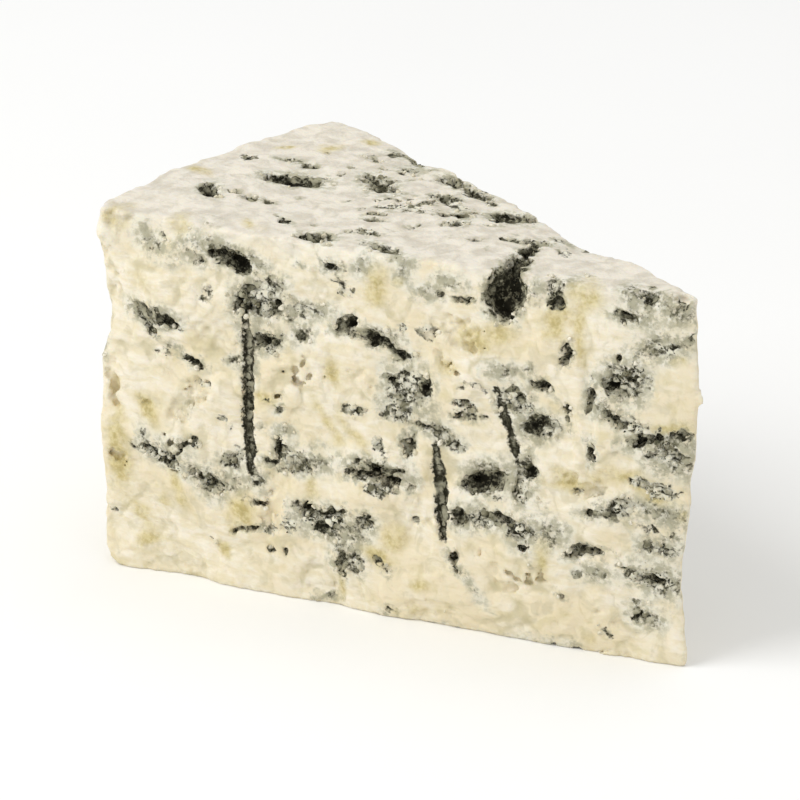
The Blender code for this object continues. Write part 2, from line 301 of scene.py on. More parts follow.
# Open hollows lined with mould
FRONT_HOLLOWS = marks(
    (-31.0, 56.0, 4.4, 3.3, 3.0, 78),
    (-28.4, 61.0, 3.4, 1.4, 2.6, 58),
    (-31.4, 52.3, 2.4, 1.5, 2.2, -20),
    (-75.9, 53.9, 3.0, 1.9, 2.8, -20),
    (-77.9, 55.3, 2.9, 0.8, 1.8, -12),
    (-81.3, 54.0, 1.0, 0.6, 1.2, -30),
    (-80.7, 59.8, 1.1, 0.4, 0.9, 0),
    (-75.2, 47.1, 1.3, 0.5, 1.4, 62),
    (-73.0, 49.9, 1.5, 0.5, 1.3, 35),
    (-70.4, 51.4, 1.2, 0.5, 1.4, 65),
    (-69.4, 47.9, 1.1, 1.0, 1.8, 0),
    (-67.4, 46.3, 1.9, 0.5, 1.2, -5),
    (-76.6, 37.4, 0.9, 0.6, 1.4, 0),
    (-71.2, 42.0, 2.4, 1.0, 1.5, 12),
    (-90.6, 43.7, 3.4, 0.8, 1.1, -4),
    (-88.0, 42.3, 2.3, 0.8, 1.6, -12),
    (-92.0, 42.2, 2.4, 0.6, 1.3, -48),
    (-83.6, 36.3, 1.9, 0.6, 1.5, -12),
    (-87.2, 38.1, 0.8, 0.4, 0.8, -10),
    (-57.0, 46.2, 2.4, 1.4, 2.6, 42),
    (-57.8, 44.8, 1.9, 0.7, 2.0, 4),
    (-65.2, 43.3, 1.2, 0.8, 1.4, 0),
    (-51.8, 44.7, 3.2, 1.3, 1.9, -8),
    (-48.6, 43.4, 2.0, 1.1, 1.5, -25),
    (-62.6, 60.0, 2.4, 0.7, 1.6, 0),
    (-59.4, 56.2, 1.7, 0.7, 1.6, -18),
    (-42.1, 53.4, 1.1, 0.7, 1.6, 10),
    (-37.6, 53.8, 1.9, 0.3, 0.8, 3),
    (-22.7, 55.8, 1.1, 0.9, 1.9, 30),
    (-11.6, 55.7, 2.0, 1.1, 1.8, 0),
    (-8.0, 60.0, 1.0, 0.5, 1.2, 0),
    (-3.2, 58.4, 2.2, 0.4, 0.6, -6),
    (-1.6, 53.3, 1.1, 0.7, 0.6, 15),
    (-20.7, 47.6, 2.0, 0.6, 1.2, 86),
    (-16.9, 42.0, 2.3, 0.5, 0.9, 84),
    (-24.3, 41.6, 1.8, 1.0, 1.8, -8),
    (-28.6, 44.2, 1.6, 0.3, 0.8, 15),
    (-11.7, 48.9, 1.3, 0.5, 1.3, 8),
    (-13.4, 43.8, 1.2, 0.8, 1.4, 20),
    (-10.0, 45.4, 0.9, 0.5, 1.2, -40),
    (-12.9, 39.5, 1.8, 0.5, 1.2, -30),
    (-7.6, 36.4, 3.2, 0.7, 1.4, 14),
    (-2.8, 37.8, 2.4, 0.7, 0.9, 6),
    (-2.6, 34.6, 2.0, 0.5, 0.9, -14),
    (-20.7, 37.5, 1.6, 0.45, 1.1, 96),
    (-16.4, 33.4, 1.7, 0.6, 1.5, 92),
    (-26.2, 35.2, 2.0, 1.5, 1.7, 30),
    (-28.3, 39.3, 1.2, 0.6, 1.2, 5),
    (-37.2, 35.2, 2.0, 0.5, 1.2, 18),
    (-44.4, 38.6, 2.1, 1.4, 2.0, 62),
    (-49.8, 38.9, 1.4, 0.8, 1.5, 35),
    (-48.2, 39.9, 2.3, 1.0, 1.6, 15),
    (-50.6, 33.0, 1.0, 0.5, 1.2, 0),
    (-44.0, 31.9, 1.5, 0.5, 1.2, -15),
    (-47.0, 28.6, 2.3, 0.8, 1.7, 88),
    (-68.9, 31.4, 0.9, 0.6, 1.5, 50),
    (-34.8, 24.4, 3.9, 1.7, 2.3, 22),
    (-38.2, 18.6, 1.6, 1.5, 1.7, 30),
    (-31.6, 19.5, 1.9, 0.9, 1.5, -20),
    (-26.4, 15.3, 1.3, 0.5, 1.4, 5),
    (-26.7, 27.8, 1.7, 1.3, 1.6, 80),
    (-28.9, 25.2, 1.5, 0.4, 1.2, 95),
    (-19.2, 15.8, 1.7, 0.7, 1.5, 15),
    (-15.6, 16.4, 1.6, 0.5, 1.3, 5),
    (-16.6, 22.5, 1.5, 0.5, 1.3, 4),
    (-2.9, 21.3, 0.9, 0.6, 1.1, -20),
    (-11.8, 14.6, 1.2, 0.4, 1.0, -10),
    (-6.8, 13.1, 2.6, 0.7, 1.4, -14),
    (-3.0, 11.6, 1.6, 0.4, 0.9, -16),
    (-9.1, 7.0, 1.2, 0.7, 1.4, 25),
    (-54.0, 22.7, 2.6, 0.9, 1.7, 8),
    (-50.0, 21.9, 2.8, 1.0, 2.0, -14),
    (-52.2, 24.0, 3.2, 0.8, 1.0, -5),
    (-68.8, 23.5, 2.3, 0.8, 1.7, 93),
    (-70.2, 21.3, 2.1, 0.6, 1.5, 5),
    (-91.0, 21.7, 1.1, 0.6, 1.5, -20),
    (-86.0, 22.4, 1.2, 0.8, 1.6, 75),
    (-86.6, 20.8, 0.9, 0.5, 1.2, -60),
    (-83.4, 23.3, 0.8, 0.4, 1.0, -10),
    (-88.3, 19.3, 2.4, 0.3, 1.0, -36),
    (-82.6, 17.5, 1.4, 0.5, 1.2, -50),
    (-80.2, 16.4, 1.4, 0.6, 1.5, -35),
    (-59.4, 15.1, 2.2, 0.9, 1.9, 22),
    (-64.6, 14.9, 2.2, 0.6, 1.4, -3),
    (-61.8, 14.2, 1.6, 0.8, 1.5, 0),
    (-61.6, 11.8, 2.1, 0.8, 1.5, 8),
    (-54.2, 14.8, 1.8, 0.7, 1.5, 48),
    (-57.8, 6.6, 3.1, 0.9, 1.8, 84),
    (-57.0, 5.1, 1.4, 0.5, 1.2, -15),
    (-52.2, 7.7, 1.5, 0.45, 1.2, -32),
    (-75.4, 10.0, 0.7, 0.4, 1.0, 0),
    (-73.4, 10.4, 1.2, 0.3, 0.8, 8),
    (-60.4, 0.6, 1.4, 0.4, 0.8, 5),
    (-39.3, 11.0, 1.1, 0.35, 1.0, -66),
)

# Soft grey patches, where mould coats the paste without a deep hollow
FRONT_SMEARS = marks(
    (-79.4, 56.2, 5.2, 1.4, 1.6, -10),
    (-72.8, 54.2, 2.2, 1.1, 1.3, -30),
    (-90.2, 55.2, 3.2, 1.4, 1.0, -25),
    (-84.0, 54.4, 2.4, 1.0, 1.2, -25),
    (-90.2, 43.2, 4.8, 1.7, 1.6, -5),
    (-72.0, 48.6, 4.4, 2.9, 1.6, 22),
    (-64.0, 47.5, 4.8, 1.5, 1.4, 2),
    (-71.4, 42.0, 2.9, 1.6, 1.2, 12),
    (-65.2, 43.4, 2.0, 1.4, 1.2, 0),
    (-51.2, 46.0, 3.6, 0.9, 1.4, -8),
    (-54.4, 56.6, 1.6, 1.3, 1.0, 60),
    (-40.4, 56.5, 2.7, 1.3, 1.2, -5),
    (-22.6, 58.3, 2.8, 0.5, 0.9, 4),
    (-10.0, 55.5, 3.2, 0.8, 1.0, -2),
    (-5.4, 51.4, 4.8, 2.2, 1.4, 14),
    (-3.4, 57.4, 3.6, 1.8, 1.2, -5),
    (-1.6, 53.2, 1.8, 1.0, 1.2, 20),
    (-16.9, 41.8, 2.6, 0.9, 1.0, 84),
    (-26.0, 35.0, 3.6, 2.2, 1.6, 15),
    (-29.0, 38.2, 2.6, 2.4, 1.2, 0),
    (-33.6, 25.6, 4.3, 2.4, 1.8, 20),
    (-36.2, 18.6, 3.4, 2.0, 1.4, 0),
    (-28.0, 17.6, 3.6, 2.2, 1.4, -25),
    (-23.6, 18.4, 2.6, 2.0, 1.2, 0),
    (-30.4, 43.6, 3.4, 1.1, 1.2, 8),
    (-43.6, 53.6, 2.8, 1.2, 1.2, 0),
    (-52.0, 23.6, 5.4, 1.7, 1.6, -6),
    (-77.2, 20.6, 2.1, 1.3, 1.2, 10),
    (-77.0, 17.0, 2.2, 1.5, 1.2, 0),
    (-61.8, 23.4, 2.6, 1.8, 1.2, 0),
    (-56.6, 12.2, 3.0, 1.8, 1.2, 0),
    (-66.4, 22.6, 3.4, 2.2, 1.4, 0),
    (-68.4, 27.0, 1.3, 0.8, 1.0, 0),
    (-57.2, 8.0, 2.4, 3.0, 1.5, 0),
    (-61.4, 13.4, 5.4, 2.4, 1.4, -2),
    (-54.2, 14.4, 2.2, 1.6, 1.3, 45),
    (-47.2, 37.4, 4.6, 3.6, 1.4, 0),
    (-42.4, 31.2, 3.6, 1.5, 1.3, -20),
    (-5.4, 36.6, 6.0, 1.6, 1.2, 6),
    (-3.4, 33.8, 4.4, 2.3, 1.1, -6),
    (-4.6, 24.8, 4.4, 1.9, 1.2, -8),
    (-13.4, 39.8, 3.4, 1.4, 1.2, -25),
    (-11.6, 45.4, 3.6, 3.0, 1.3, 30),
    (-5.0, 13.0, 5.6, 2.4, 1.2, -12),
    (-15.4, 12.8, 3.0, 1.4, 1.2, -5),
    (-16.6, 23.0, 2.4, 1.0, 1.2, 5),
    (-5.4, 18.6, 3.8, 1.5, 1.1, 0),
    (-12.4, 24.4, 3.8, 1.9, 1.2, 15),
    (-7.6, 7.0, 2.8, 1.6, 1.2, -10),
    (-36.8, 8.2, 3.4, 0.5, 1.0, -52),
    (-27.8, 26.6, 1.9, 3.8, 1.3, 0),
    (-88.0, 20.4, 4.4, 2.3, 1.3, -25),
    (-81.0, 17.0, 3.0, 1.9, 1.3, -30),
    (-74.0, 40.0, 1.6, 5.0, 1.2, 0),
    (-73.0, 18.0, 1.5, 1.6, 1.0, 0),
)

# Broken, grainy curd threaded with mould
FRONT_GRAINS = marks(
    (-72.0, 48.6, 3.7, 2.3, 1.4, 20),
    (-65.4, 47.6, 3.0, 0.9, 1.2, 0),
    (-71.4, 42.0, 2.6, 1.2, 1.2, 12),
    (-90.4, 40.4, 1.2, 1.0, 1.1, -40),
    (-47.0, 38.2, 4.1, 2.8, 1.8, 6),
    (-48.6, 34.2, 2.8, 2.1, 1.5, 0),
    (-42.2, 31.0, 3.6, 1.3, 1.4, -22),
    (-56.0, 33.3, 1.5, 0.9, 1.0, 0),
    (-37.6, 36.6, 2.4, 1.8, 1.1, 10),
    (-29.2, 38.6, 2.8, 2.0, 1.2, -20),
    (-24.4, 35.4, 2.2, 1.8, 1.5, 0),
    (-27.8, 26.6, 1.6, 3.3, 1.5, 0),
    (-65.8, 22.4, 2.5, 1.9, 1.2, 10),
    (-88.4, 20.3, 3.9, 2.0, 1.3, -25),
    (-81.0, 17.0, 2.6, 1.5, 1.4, -30),
    (-84.0, 22.8, 2.2, 0.7, 1.0, 0),
    (-77.2, 20.4, 1.7, 1.2, 1.1, 0),
    (-72.8, 18.0, 1.2, 1.3, 1.0, 0),
    (-61.5, 13.2, 4.6, 2.1, 1.6, 0),
    (-67.0, 12.0, 1.6, 1.6, 1.2, 0),
    (-54.4, 14.0, 1.7, 1.4, 1.4, 45),
    (-56.2, 6.6, 1.7, 1.9, 1.3, 0),
    (-51.8, 20.6, 2.2, 1.1, 1.2, 0),
    (-34.6, 19.0, 2.6, 1.5, 1.5, 0),
    (-28.2, 17.4, 3.0, 1.8, 1.4, -22),
    (-17.3, 16.2, 3.8, 1.0, 1.2, 8),
    (-12.4, 24.2, 3.6, 1.8, 1.2, 18),
    (-7.0, 21.4, 2.4, 0.9, 1.0, -10),
    (-5.2, 18.4, 3.4, 1.2, 1.1, 0),
    (-6.6, 13.0, 4.6, 1.3, 1.2, -12),
    (-8.4, 7.2, 1.4, 0.8, 1.2, 10),
    (-9.6, 38.2, 3.4, 1.1, 1.3, -22),
    (-4.2, 34.2, 3.8, 1.4, 1.3, -5),
    (-11.4, 45.6, 3.0, 2.5, 1.4, 40),
    (-5.4, 50.6, 3.6, 1.1, 1.2, 18),
    (-6.4, 29.0, 4.6, 1.1, 1.0, -14),
    (-44.2, 47.2, 1.4, 1.2, 0.9, 0),
    (-45.4, 16.4, 1.2, 0.6, 0.9, 0),
    (-57.9, 52.0, 1.5, 0.5, 0.8, 0),
    (-81.4, 47.9, 1.6, 0.6, 0.8, 0),
    (-31.0, 58.0, 2.2, 1.7, 1.4, 70),
    (-39.5, 29.6, 1.4, 1.1, 1.2, 0),
)

# Places where the rim of a cut has broken away without mould
FRONT_CHIPS = marks(
    (-95.0, 58.6, 4.0, 1.4, 1.0, 12),
    (-86.0, 59.6, 5.0, 1.2, 1.1, -6),
    (-71.0, 59.8, 4.4, 1.3, 1.2, 5),
    (-57.0, 60.0, 4.0, 1.1, 1.1, -4),
    (-44.0, 60.0, 4.6, 1.0, 0.9, 6),
    (-18.0, 59.8, 4.4, 0.9, 0.9, -5),
    (-4.0, 59.4, 3.2, 0.9, 0.8, -12),
    (-98.0, 48.0, 1.4, 5.0, 0.8, 0),
    (-98.2, 30.0, 1.2, 4.0, 0.8, 5),
    (-66.0, 36.5, 5.0, 2.2, 0.5, 30),
    (-55.0, 38.0, 3.6, 2.0, 0.5, -40),
    (-84.0, 30.0, 4.0, 1.6, 0.5, 50),
    (-38.0, 48.0, 4.2, 1.8, 0.5, -25),
    (-18.0, 27.0, 4.4, 2.0, 0.6, -10),
    (-70.0, 15.0, 3.6, 1.4, 0.5, 60),
    (-28.0, 10.0, 4.0, 1.4, 0.4, 20),
)

# Needle channels laid open by the cut: right at the top and the foot, both heights
Channel = namedtuple("Channel", "top_right foot_right top foot radius")
FRONT_CHANNELS = [
    Channel(-74.1, -74.1, 46.0, 19.0, 1.0),
    Channel(-42.6, -40.8, 29.4, 14.4, 1.1),
    Channel(-32.2, -29.0, 40.4, 28.6, 0.8),
]

# Buttery, see-through spots
FRONT_YELLOWS = marks(
    (-73.6, 60.2, 1.8, 0.9, 1.2, -10),
    (-86.0, 58.8, 1.8, 1.0, 1.0, 0),
    (-96.6, 58.0, 1.6, 1.4, 0.8, 0),
    (-52.5, 53.8, 3.4, 1.5, 1.2, 74),
    (-48.6, 54.9, 0.9, 0.8, 1.0, 0),
    (-22.6, 52.8, 2.0, 3.0, 1.2, -10),
    (-17.8, 57.0, 3.0, 1.8, 1.2, 0),
    (-18.8, 51.2, 0.8, 4.4, 1.0, 0),
    (-35.4, 47.6, 3.0, 1.9, 1.2, -20),
    (-31.6, 49.4, 2.6, 1.5, 1.0, 10),
    (-40.2, 43.2, 1.7, 1.0, 1.0, 10),
    (-59.2, 39.0, 1.6, 1.8, 1.0, 20),
    (-91.6, 27.2, 2.6, 1.4, 1.2, -50),
    (-97.4, 30.6, 1.3, 1.1, 1.0, 0),
    (-96.4, 19.0, 8.0, 1.7, 1.2, 94),
    (-91.6, 48.4, 2.8, 1.1, 1.0, -15),
    (-93.2, 9.2, 3.4, 1.3, 1.0, -40),
    (-88.4, 11.9, 0.9, 1.2, 1.0, 10),
    (-78.2, 5.7, 2.2, 1.1, 1.2, -60),
    (-75.4, 12.4, 3.2, 2.0, 1.2, 80),
    (-91.6, 4.4, 2.8, 1.0, 0.9, 20),
    (-44.8, 6.2, 1.5, 1.0, 1.0, 0),
    (-44.8, 1.3, 1.3, 0.6, 0.9, -20),
    (-21.0, 4.7, 1.1, 0.6, 0.9, 0),
    (-16.3, 1.7, 0.9, 0.7, 0.9, 0),
    (-20.4, 27.6, 3.4, 1.9, 1.2, -4),
    (-12.4, 30.4, 4.0, 1.3, 1.1, 8),
    (-7.0, 28.4, 3.2, 1.3, 1.1, -30),
    (-1.6, 24.9, 1.3, 0.9, 1.0, 0),
    (-59.9, 30.2, 4.6, 1.0, 1.1, -62),
    (-55.6, 29.0, 2.6, 0.5, 1.0, -50),
    (-63.6, 18.4, 1.2, 1.8, 1.0, 0),
    (-52.6, 9.1, 2.6, 1.5, 1.2, -20),
    (-49.0, 12.6, 2.6, 1.8, 1.0, 10),
    (-86.2, 15.0, 3.2, 1.0, 1.0, -60),
    (-2.4, 49.2, 1.0, 0.8, 1.0, 0),
    (-71.0, 32.9, 1.9, 1.3, 1.3, -20),
    (-58.7, 2.4, 2.8, 0.7, 1.1, 90),
    (-24.0, 14.0, 0.8, 4.0, 1.0, 0),
    (-4.6, 38.6, 3.8, 1.0, 1.0, 4),
)

TOP_HOLLOWS = marks(
    (-80.6, 0.9, 4.5, 2.0, 2.2, 22),
    (-77.8, 1.6, 1.9, 1.4, 2.8, 20),
    (-72.0, 9.6, 2.0, 0.7, 2.0, -28),
    (-66.4, 7.0, 2.0, 1.1, 2.4, 38),
    (-69.3, 8.0, 3.0, 1.5, 1.2, -25),
    (-56.9, 9.8, 2.6, 1.2, 2.6, 8),
    (-61.2, 15.8, 3.0, 1.2, 2.6, -6),
    (-54.2, 14.4, 3.8, 0.9, 2.2, -14),
    (-50.2, 13.2, 0.8, 0.6, 1.4, 0),
    (-45.6, 9.6, 1.3, 1.5, 2.0, 60),
    (-42.6, 9.4, 2.4, 1.4, 1.2, 10),
    (-40.6, 10.4, 1.5, 0.7, 1.8, 30),
    (-44.0, 7.2, 1.7, 0.5, 1.6, 20),
    (-49.4, 4.4, 1.8, 1.3, 2.6, -40),
    (-86.4, -12.0, 3.2, 1.1, 2.0, -42),
    (-83.0, 6.9, 1.5, 0.9, 1.8, 15),
    (-87.8, 6.6, 2.0, 0.6, 1.4, 12),
    (-58.6, -5.7, 1.9, 0.8, 1.8, 22),
    (-60.2, -17.2, 2.9, 1.5, 2.8, 8),
    (-68.8, -14.2, 1.8, 0.6, 1.6, -30),
    (-79.4, -9.7, 3.4, 0.5, 1.0, 8),
    (-57.2, -12.8, 0.7, 0.5, 1.2, 60),
    (-54.2, -11.2, 1.5, 0.6, 1.2, 10),
    (-33.2, 3.0, 2.4, 1.1, 2.0, 38),
    (-31.6, -0.6, 2.8, 1.2, 2.4, -58),
    (-29.6, -5.0, 2.8, 1.6, 2.6, -68),
    (-28.6, -9.0, 2.6, 2.0, 2.8, -70),
    (-26.0, 6.6, 1.0, 0.8, 1.5, 0),
    (-36.6, 1.0, 1.5, 0.5, 1.2, 15),
    (-60.3, 0.7, 1.0, 0.8, 1.5, 0),
    (-58.0, 5.6, 1.1, 0.5, 1.2, 0),
    (-52.4, 2.4, 1.2, 0.5, 1.2, 10),
    (-46.8, 0.4, 1.3, 0.5, 1.2, 20),
    (-20.4, -7.6, 1.1, 0.6, 1.3, -30),
    (-7.4, -2.6, 1.3, 0.6, 1.6, -35),
    (-72.8, 20.4, 3.4, 0.5, 1.0, -16),
    (-48.2, -14.9, 3.8, 0.7, 1.2, -6),
)

TOP_GRAINS = marks(
    (-93.5, 4.0, 2.0, 1.5, 1.0, -30),
    (-69.2, 8.2, 3.8, 2.0, 1.5, -25),
    (-43.5, 9.2, 3.4, 1.9, 1.4, 10),
    (-55.6, -11.4, 2.1, 1.3, 1.0, 0),
    (-47.3, 1.1, 1.6, 0.9, 0.9, 0),
    (-54.0, 7.6, 3.0, 1.6, 0.8, 0),
    (-58.6, 2.6, 3.2, 2.0, 0.8, 0),
    (-32.4, 6.4, 1.6, 0.9, 0.9, 0),
    (-20.4, -8.4, 2.0, 1.3, 1.0, -50),
    (-27.6, 3.0, 2.2, 1.0, 0.9, -50),
    (-30.0, -6.0, 3.4, 1.6, 1.2, -66),
)

TOP_SMEARS = marks(
    (-80.2, 1.0, 5.4, 2.8, 1.8, 22),
    (-69.2, 8.0, 4.8, 2.6, 1.5, -28),
    (-70.0, 16.6, 2.2, 1.2, 1.0, 0),
    (-43.5, 9.2, 4.4, 2.4, 1.5, 10),
    (-57.6, 15.4, 6.4, 1.5, 1.2, -12),
    (-48.0, -14.8, 4.6, 0.9, 1.2, -6),
    (-86.6, -12.0, 3.8, 1.7, 1.6, -42),
    (-86.0, 6.8, 4.2, 1.1, 1.2, 8),
    (-60.3, -16.6, 3.4, 1.2, 1.2, 8),
    (-49.4, 4.4, 2.8, 1.8, 1.2, -40),
    (-31.0, 6.6, 2.4, 1.0, 1.0, 0),
    (-73.0, 20.0, 4.4, 0.9, 1.0, -16),
    (-9.6, -3.6, 2.6, 1.2, 1.0, -35),
)

TOP_YELLOWS = marks(
    (-94.6, -6.8, 2.9, 1.2, 1.2, -22),
    (-71.6, -19.4, 2.1, 1.1, 1.2, -30),
    (-82.8, 21.6, 1.4, 1.3, 1.0, 0),
    (-86.4, 16.0, 1.8, 2.2, 1.0, 0),
    (-12.4, -7.0, 2.6, 1.2, 1.0, 12),
    (-1.0, -3.4, 2.0, 0.8, 1.0, -20),
    (-92.0, 12.0, 2.0, 0.8, 0.9, 60),
)


def scattered(rng, count, right, up, length, ratio, depth, tilt):
    """Marks spread at random over a face, within ranges for place, size and tilt."""
    result = []
    for _ in range(count):
        place = (rng.uniform(*right), rng.uniform(*up))
        half_length = rng.uniform(*length)
        half_width = half_length * rng.uniform(*ratio)
        result.append(Mark(*place, half_length, half_width, rng.uniform(*depth), rng.uniform(*tilt)))
    return result


Pattern = namedtuple("Pattern", "hollows smears grains chips yellows channels")


# How far a point of the swelling cut looks moved on a flat cut: right and up, per millimetre
SIGHT = (0.45, 0.44)


def on_swelling(mark):
    """Moves a mark given on a flat cut to where the same line of sight meets the swelling."""
    swell = float(bow(-mark.right, "front"))
    right = mark.right + SIGHT[0] * swell - float(tip_lean(-mark.right, mark.up))
    return mark._replace(right=right, up=mark.up + SIGHT[1] * swell)


def channel_on_swelling(channel):
    ends = [
        on_swelling(Mark(right, up, 0, 0, 0, 0))
        for right, up in ((channel.top_right, channel.top), (channel.foot_right, channel.foot))
    ]
    return Channel(ends[0].right, ends[1].right, ends[0].up, ends[1].up, channel.radius)


def front_pattern():
    rng = np.random.default_rng(SEED)
    area = ((-98, -3), (3, 58))
    specks = scattered(rng, 16, *area, (0.3, 0.6), (0.5, 1.0), (0.4, 0.9), (-60, 20))
    grains = scattered(rng, 30, *area, (0.5, 1.6), (0.3, 0.6), (0.6, 1.0), (-50, 20))
    pits = scattered(rng, 26, *area, (0.5, 1.6), (0.3, 0.8), (0.3, 0.6), (-70, 30))
    kinds = (FRONT_HOLLOWS, FRONT_SMEARS, FRONT_GRAINS, FRONT_CHIPS, FRONT_YELLOWS)
    hollows, smears, curd, chips, yellows = [[on_swelling(mark) for mark in kind] for kind in kinds]
    channels = [channel_on_swelling(channel) for channel in FRONT_CHANNELS]
    return Pattern(hollows + specks, smears, curd + grains, chips + pits, yellows, channels)


def back_pattern():
    """The hidden cut has the same kinds of marks as the shown one, in other places."""
    rng = np.random.default_rng(SEED + 1)
    area = ((11, 94), (7, 54))
    tilt = (-35, 40)
    hollows = scattered(rng, 40, *area, (0.9, 3.8), (0.35, 0.7), (1.4, 3.0), tilt)
    specks = scattered(rng, 110, (4, 98), (3, 58), (0.25, 0.7), (0.5, 1.0), (0.4, 0.9), (-60, 60))
    smears = scattered(rng, 16, *area, (1.6, 5.2), (0.22, 0.45), (1.0, 1.8), tilt)
    smears += [mark._replace(length=mark.length + 1, width=mark.width + 0.7) for mark in hollows[:14]]
    grains = scattered(rng, 44, *area, (1.2, 5.0), (0.3, 0.7), (1.0, 1.7), tilt)
    chips = scattered(rng, 16, (4, 98), (20, 60), (2.5, 5.0), (0.25, 0.5), (0.4, 1.0), (-20, 20))
    yellows = scattered(rng, 26, (3, 98), (2, 58), (0.8, 3.4), (0.4, 0.9), (0.9, 1.2), (-70, 70))
    channels = [
        Channel(81.0, 80.2, 52.0, 22.0, 1.0),
        Channel(62.5, 63.4, 33.0, 12.0, 1.0),
        Channel(43.0, 41.6, 47.0, 30.0, 1.0),
        Channel(24.5, 24.9, 36.0, 15.0, 0.9),
    ]
    return Pattern(hollows + specks, smears, grains, chips, yellows, channels)


# The top lies a little lower than the plain wedge's: right and up, how far its marks look moved
TOP_SIGHT = (-0.4, 0.7)
TOP_WIDEN = 1.25


def top_pattern():
    rng = np.random.default_rng(SEED + 2)
    specks = scattered(rng, 30, (-97, -8), (-20, 20), (0.2, 0.6), (0.4, 0.9), (0.4, 0.9), (-60, 60))
    dashes = scattered(rng, 34, (-68, -38), (-3, 14), (0.3, 1.0), (0.3, 0.6), (0.7, 1.3), (0, 70))
    dashes += scattered(rng, 22, (-78, -46), (12, 21), (0.4, 1.3), (0.3, 0.6), (0.7, 1.2), (-20, 40))
    kinds = (TOP_HOLLOWS, TOP_SMEARS, TOP_GRAINS, TOP_YELLOWS)
    hollows, smears, grains, yellows = [
        [mark._replace(right=mark.right + TOP_SIGHT[0], up=mark.up + TOP_SIGHT[1]) for mark in kind]
        for kind in kinds
    ]
    hollows = [mark._replace(width=TOP_WIDEN * mark.width) for mark in hollows]
    return Pattern(hollows + specks + dashes, smears, grains, [], yellows, [])


def rind_pattern():
    rng = np.random.default_rng(SEED + 3)
    area = ((-27, 27), (4, 57))
    pits = scattered(rng, 46, *area, (0.4, 1.3), (0.5, 0.9), (0.5, 1.1), (-40, 40))
    smears = scattered(rng, 22, *area, (1.5, 5.5), (0.3, 0.7), (0.8, 1.0), (-30, 30))
    chips = scattered(rng, 18, *area, (1.5, 4.0), (0.4, 0.7), (0.4, 0.8), (-60, 60))
    yellows = scattered(rng, 14, *area, (1.0, 3.0), (0.4, 0.8), (0.8, 1.0), (-60, 60))
    return Pattern(pits, smears, [], chips, yellows, [])


def base_pattern():
    rng = np.random.default_rng(SEED + 4)
    area = ((-96, -10), (-22, 22))
    pits = scattered(rng, 40, *area, (0.3, 1.0), (0.6, 1.0), (0.5, 1.0), (-90, 90))
    smears = scattered(rng, 22, *area, (1.5, 6.0), (0.3, 0.7), (0.8, 1.0), (-90, 90))
    yellows = scattered(rng, 14, *area, (1.0, 3.0), (0.4, 0.8), (0.8, 1.0), (-90, 90))
    return Pattern(pits, smears, [], [], yellows, [])


def all_patterns():
    return {
        "front": front_pattern(),
        "back": back_pattern(),
        "top": top_pattern(),
        "base": base_pattern(),
        "rind": rind_pattern(),
    }


def dark_cores(hollows):
    """The part of each deeper hollow that light does not reach, set a little low in it."""
    return [
        mark._replace(up=mark.up - 0.12 * mark.width, length=0.80 * mark.length, width=0.68 * mark.width)
        for mark in hollows
        if mark.depth >= 1.4
    ]


# ---------------------------------------------------------------- distances to marks
def mark_distance(place, mark):
    """Rough distance in millimetres to a mark's ellipsoid, negative inside it."""
    turn = math.radians(mark.tilt)
    across, upward = place[:, 0] - mark.right, place[:, 1] - mark.up
    along = (across * math.cos(turn) + upward * math.sin(turn)) / mark.length
    aside = (upward * math.cos(turn) - across * math.sin(turn)) / mark.width
    reach = np.sqrt(along**2 + aside**2 + (place[:, 2] / mark.depth) ** 2)
    return (reach - 1) * min(mark.length, mark.width, mark.depth)


def marks_distance(place, face_marks):
    """Distance to the nearest of several marks, up to FAR."""
    result = np.full(len(place), FAR, np.float32)
    for mark in face_marks:
        reach = max(mark.length, mark.width) + PAINT_RANGE
        near = np.abs(place[:, 0] - mark.right) < reach
        near &= np.abs(place[:, 1] - mark.up) < reach
        near &= place[:, 2] < mark.depth + PAINT_RANGE
        near = np.flatnonzero(near)
        result[near] = np.minimum(result[near], mark_distance(place[near], mark))
    return result


def channels_distance(place, channels):
    """Distance to the nearest needle channel, up to FAR."""
    result = np.full(len(place), FAR, np.float32)
    for channel in channels:
        height = np.clip(place[:, 1], channel.foot, channel.top)
        share = (height - channel.foot) / (channel.top - channel.foot)
        middle = channel.foot_right + share * (channel.top_right - channel.foot_right)
        gap = np.sqrt((place[:, 0] - middle) ** 2 + (place[:, 1] - height) ** 2 + place[:, 2] ** 2)
        end = np.minimum(channel.top - height, height - channel.foot) / CHANNEL_TAPER
        result = np.minimum(result, gap - channel.radius * (0.5 + 0.5 * np.clip(end, 0, 1)))
    return result


